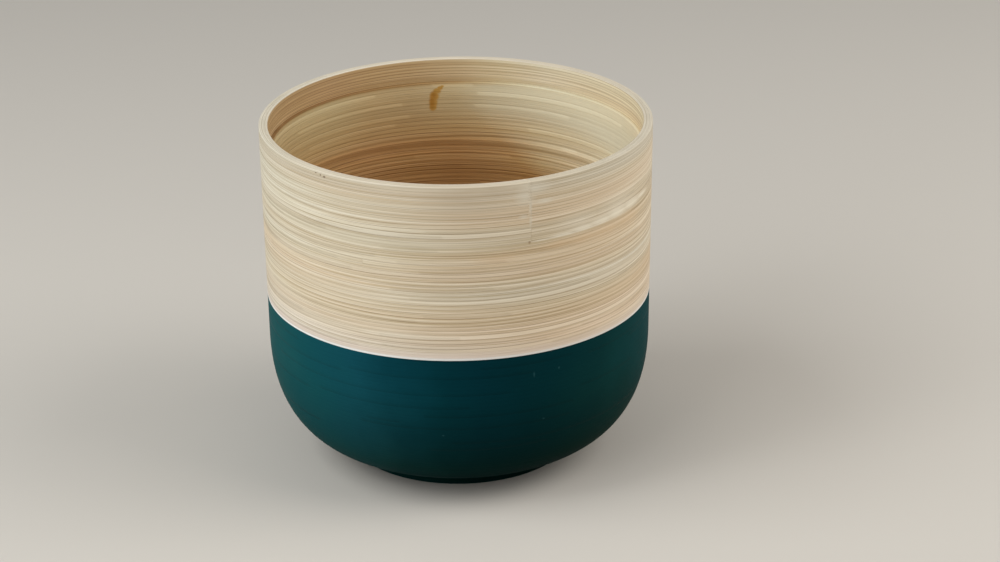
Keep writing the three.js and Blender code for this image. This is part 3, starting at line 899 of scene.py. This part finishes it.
def bendRim():
    top, glue = potShape["height"], rimHoops["glue"]
    soft, sharp = rimHoops["rounding"], rimHoops["edgeRound"]
    innerTop = rimInside + stripStock["thickness"]
    middleTop = rimInside + 2 * stripStock["thickness"]
    outerFoot = top - rimHoops["outerReveal"]
    middleFoot = outerFoot - rimHoops["middleReveal"]
    inner = [(innerTop - glue, top), (rimInside, top), (rimInside, ledgeHeight + glue),
             (outsideAt(windingTop), windingTop + glue), (outsideAt(middleFoot), middleFoot - glue)]
    middle = [(outsideAt(middleFoot), middleFoot), (outsideAt(outerFoot), outerFoot - glue),
              (middleTop - glue, top), (innerTop, top)]
    lip = potShape["rimRadius"] - rimHoops["sandedBack"]
    outer = [(outsideAt(outerFoot), outerFoot), (lip, top), (middleTop, top)]
    bendHoop("rim_inner_hoop", np.array(inner), (sharp, soft, sharp, sharp, sharp), 3.0)
    bendHoop("rim_middle_hoop", np.array(middle), (sharp, sharp, sharp, sharp), 23.0)
    bendHoop("rim_outer_hoop", np.array(outer), (sharp, rimHoops["outerRounding"], sharp), 47.0)
    print("bent the rim")


bendRim()

centrePeg = {
    "radius": 0.00335, "sides": 48, "edgeRound": 0.0002, "inset": 0.001, "hollow": 0.0003,
    "grainAlong": 3, "grainAcross": 200, "grainShift": 90.5,
}


def selectEnd(piece, end):
    bpy.ops.mesh.select_all(action="DESELECT")
    mesh = bmesh.from_edit_mesh(piece.data)
    for face in mesh.faces:
        face.select_set(face.normal.z * end > 0.999)
    bmesh.update_edit_mesh(piece.data)


# the peg in the eye of the coil, its ends a little sunk by sanding
def turnPeg():
    startPiece()
    middle = potShape["footHeight"] + stripStock["width"] / 2
    bpy.ops.mesh.primitive_cylinder_add(
        vertices=centrePeg["sides"], radius=centrePeg["radius"], depth=stripStock["width"], location=(0, 0, middle))
    piece = bpy.context.object
    piece.name = "centre_peg_turned"
    bpy.ops.object.transform_apply(location=True, rotation=False, scale=False)
    bpy.ops.object.mode_set(mode="EDIT")
    bpy.ops.mesh.select_mode(type="FACE")
    for end in (1, -1):
        selectEnd(piece, end)
        bpy.ops.mesh.bevel(offset=centrePeg["edgeRound"], segments=3, affect="EDGES")
        selectEnd(piece, end)
        for depth in (0, -centrePeg["hollow"]):
            bpy.ops.mesh.inset(thickness=centrePeg["inset"], depth=depth)
    bpy.ops.object.mode_set(mode="OBJECT")
    points = readPoints(piece)
    side = np.where(points[:, 2] < middle, 1.0, 0.0)
    along = points[:, 0] * centrePeg["grainAlong"] + centrePeg["grainShift"]
    across = 0.5 + points[:, 1] * centrePeg["grainAcross"]
    writePoints(piece, points, along, across, outside=side, fromEnd=endReach, proud=0.0)
    finishPiece(piece, "centre_peg", pegBamboo)
    print("turned the peg")


turnPeg()

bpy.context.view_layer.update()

studio = {
    "floor": (206, 200, 191),
    "floorSize": 8,
    "floorRoughness": 0.9,
    "world": 0.27,
    "worldColour": (0.97, 0.99, 1.0),
    "aimHeight": 0.08,
    "lamps": {
        "leftFront": {"place": (-0.95, -0.95, 0.75), "size": 1.1, "energy": 9.5, "colour": (0.96, 0.98, 1.0)},
        "leftHigh": {"place": (-0.95, -0.3, 1.15), "size": 0.9, "energy": 9.5, "colour": (0.96, 0.99, 1.0)},
        "rightLow": {"place": (1.35, 0.05, 0.6), "size": 1.1, "energy": 8.0, "colour": (1.0, 0.98, 0.94)},
        "rightHigh": {"place": (1.0, -0.3, 1.1), "size": 0.9, "energy": 6.5, "colour": (1.0, 0.97, 0.93)},
    },
}


def setStudio():
    startPiece()
    bpy.ops.mesh.primitive_plane_add(size=studio["floorSize"], location=(0, 0, 0))
    floor = bpy.context.object
    floor.name = "floor"
    paper = bpy.data.materials.new("paperFloor")
    paper.use_nodes = True
    shader = paper.node_tree.nodes["Principled BSDF"]
    shader.inputs["Base Color"].default_value = fromSrgb(*studio["floor"])
    shader.inputs["Roughness"].default_value = studio["floorRoughness"]
    floor.data.materials.append(paper)

    world = bpy.data.worlds.new("softRoom")
    bpy.context.scene.world = world
    world.use_nodes = True
    sky = world.node_tree.nodes["Background"]
    sky.inputs["Color"].default_value = (*studio["worldColour"], 1.0)
    sky.inputs["Strength"].default_value = studio["world"]

    for name, lamp in studio["lamps"].items():
        bpy.ops.object.light_add(type="AREA", location=lamp["place"])
        light = bpy.context.object
        light.name = name
        light.data.size = lamp["size"]
        light.data.energy = lamp["energy"]
        light.data.color = lamp["colour"]
        aim = Vector((0, 0, studio["aimHeight"])) - Vector(lamp["place"])
        light.rotation_euler = aim.to_track_quat("-Z", "Y").to_euler()
    print("studio set")


setStudio()

photoCamera = {
    "location": (0.0, -1.17812, 0.56781),
    "rotation": (67.3414, 0.5792, -1.1422),
    "lens": 102.834,
    "sensor": 36,
}


def setCamera():
    startPiece()
    rotation = [math.radians(angle) for angle in photoCamera["rotation"]]
    bpy.ops.object.camera_add(location=photoCamera["location"], rotation=rotation)
    camera = bpy.context.object
    camera.data.lens = photoCamera["lens"]
    camera.data.sensor_width = photoCamera["sensor"]
    bpy.context.scene.camera = camera
    bpy.context.scene.view_settings.view_transform = "Standard"


setCamera()
print("camera set")
